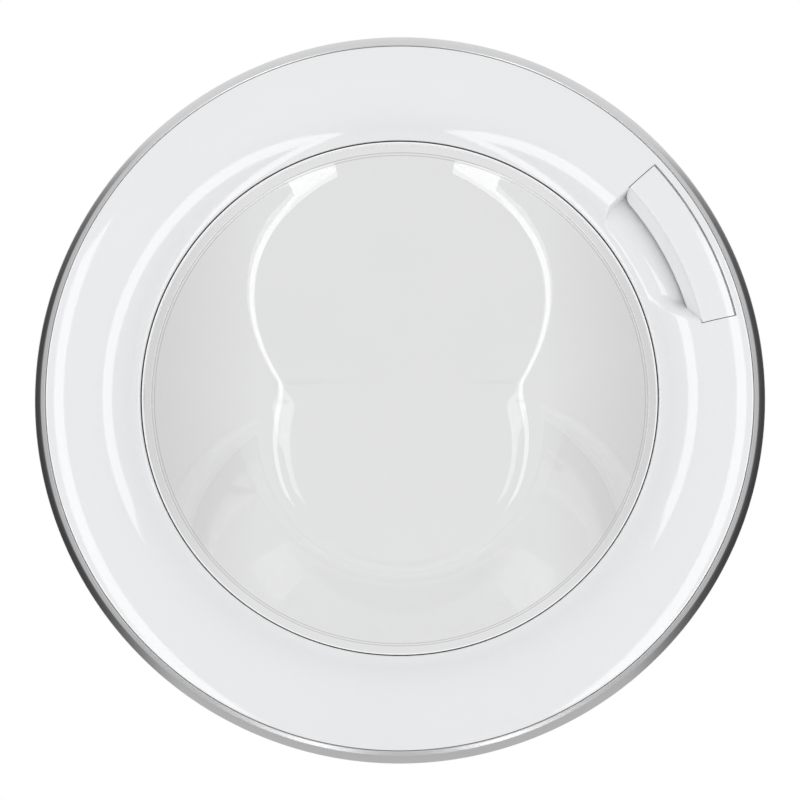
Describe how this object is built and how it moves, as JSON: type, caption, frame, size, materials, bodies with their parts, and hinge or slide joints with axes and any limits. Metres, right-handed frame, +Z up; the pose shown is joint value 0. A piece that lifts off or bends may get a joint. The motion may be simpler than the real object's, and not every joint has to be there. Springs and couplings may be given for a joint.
{
  "type": "washing machine door",
  "caption": "Round porthole door: white ring with finger recess and pull lever, silver outer trim, deep pressed glass bowl, sprung latch hook and swan-neck hinge.",
  "frame": {"origin": "on the door's axis, in the plane of the hinge plate's mounting face", "axes": "door closed and upright: -Y is the face the user sees, +X is the latch side, +Z is up"},
  "size_m": [0.4699, 0.0925, 0.47],
  "materials": {
    "white_plastic": "gloss white moulding",
    "handle_plastic": "gloss white moulding",
    "silver_trim": "satin silver plating",
    "gasket_rubber": "dark, matt",
    "clear_glass": "pressed, clear",
    "grey_plastic": "fine moulded grain",
    "zinc_steel": "zinc plated",
    "hook_steel": "zinc plated",
    "pin_steel": "ground",
    "spring_steel": "drawn wire",
    "cast_metal": "die cast, blasted",
    "bracket_steel": "zinc plated sheet",
    "bush_plastic": "natural nylon"
  },
  "bodies": {
    "hinge": {"hinge_arm": "cast_metal", "hinge_bush_upper": "bush_plastic", "hinge_bush_lower": "bush_plastic"},
    "door": {"outer_frame": "white_plastic", "trim_ring": "silver_trim", "glass_gasket": "gasket_rubber", "glass_bowl": "clear_glass", "inner_frame": "grey_plastic", "frame_screws": "zinc_steel", "latch_pin": "zinc_steel", "hinge_bracket": "bracket_steel", "hinge_pin": "pin_steel", "hinge_pin_clip": "spring_steel", "bracket_screws": "zinc_steel"},
    "handle": {"door_handle": "handle_plastic"},
    "hook": {"latch_hook": "hook_steel", "latch_spring": "spring_steel"}
  },
  "joints": [
    {"name": "door_swing", "type": "hinge", "parent": "hinge", "child": "door", "pos_m": [-0.214, -0.024, 0], "axis": [0, 0, -1], "range_deg": [0, 164]},
    {"name": "handle_pull", "type": "hinge", "parent": "door", "child": "handle", "pos_m": [0.19097, -0.0392, 0.09941], "axis": [-0.4618, 0, 0.887], "range_deg": [0, 10], "stiffness_Nm_per_rad": 0.8, "springref_deg": -20.05},
    {"name": "hook_snap", "type": "hinge", "parent": "handle", "child": "hook", "pos_m": [0.19097, -0.0392, 0.09941], "axis": [-0.4618, 0, 0.887], "range_deg": [0, 9], "stiffness_Nm_per_rad": 0.6, "springref_deg": -17.19}
  ]
}
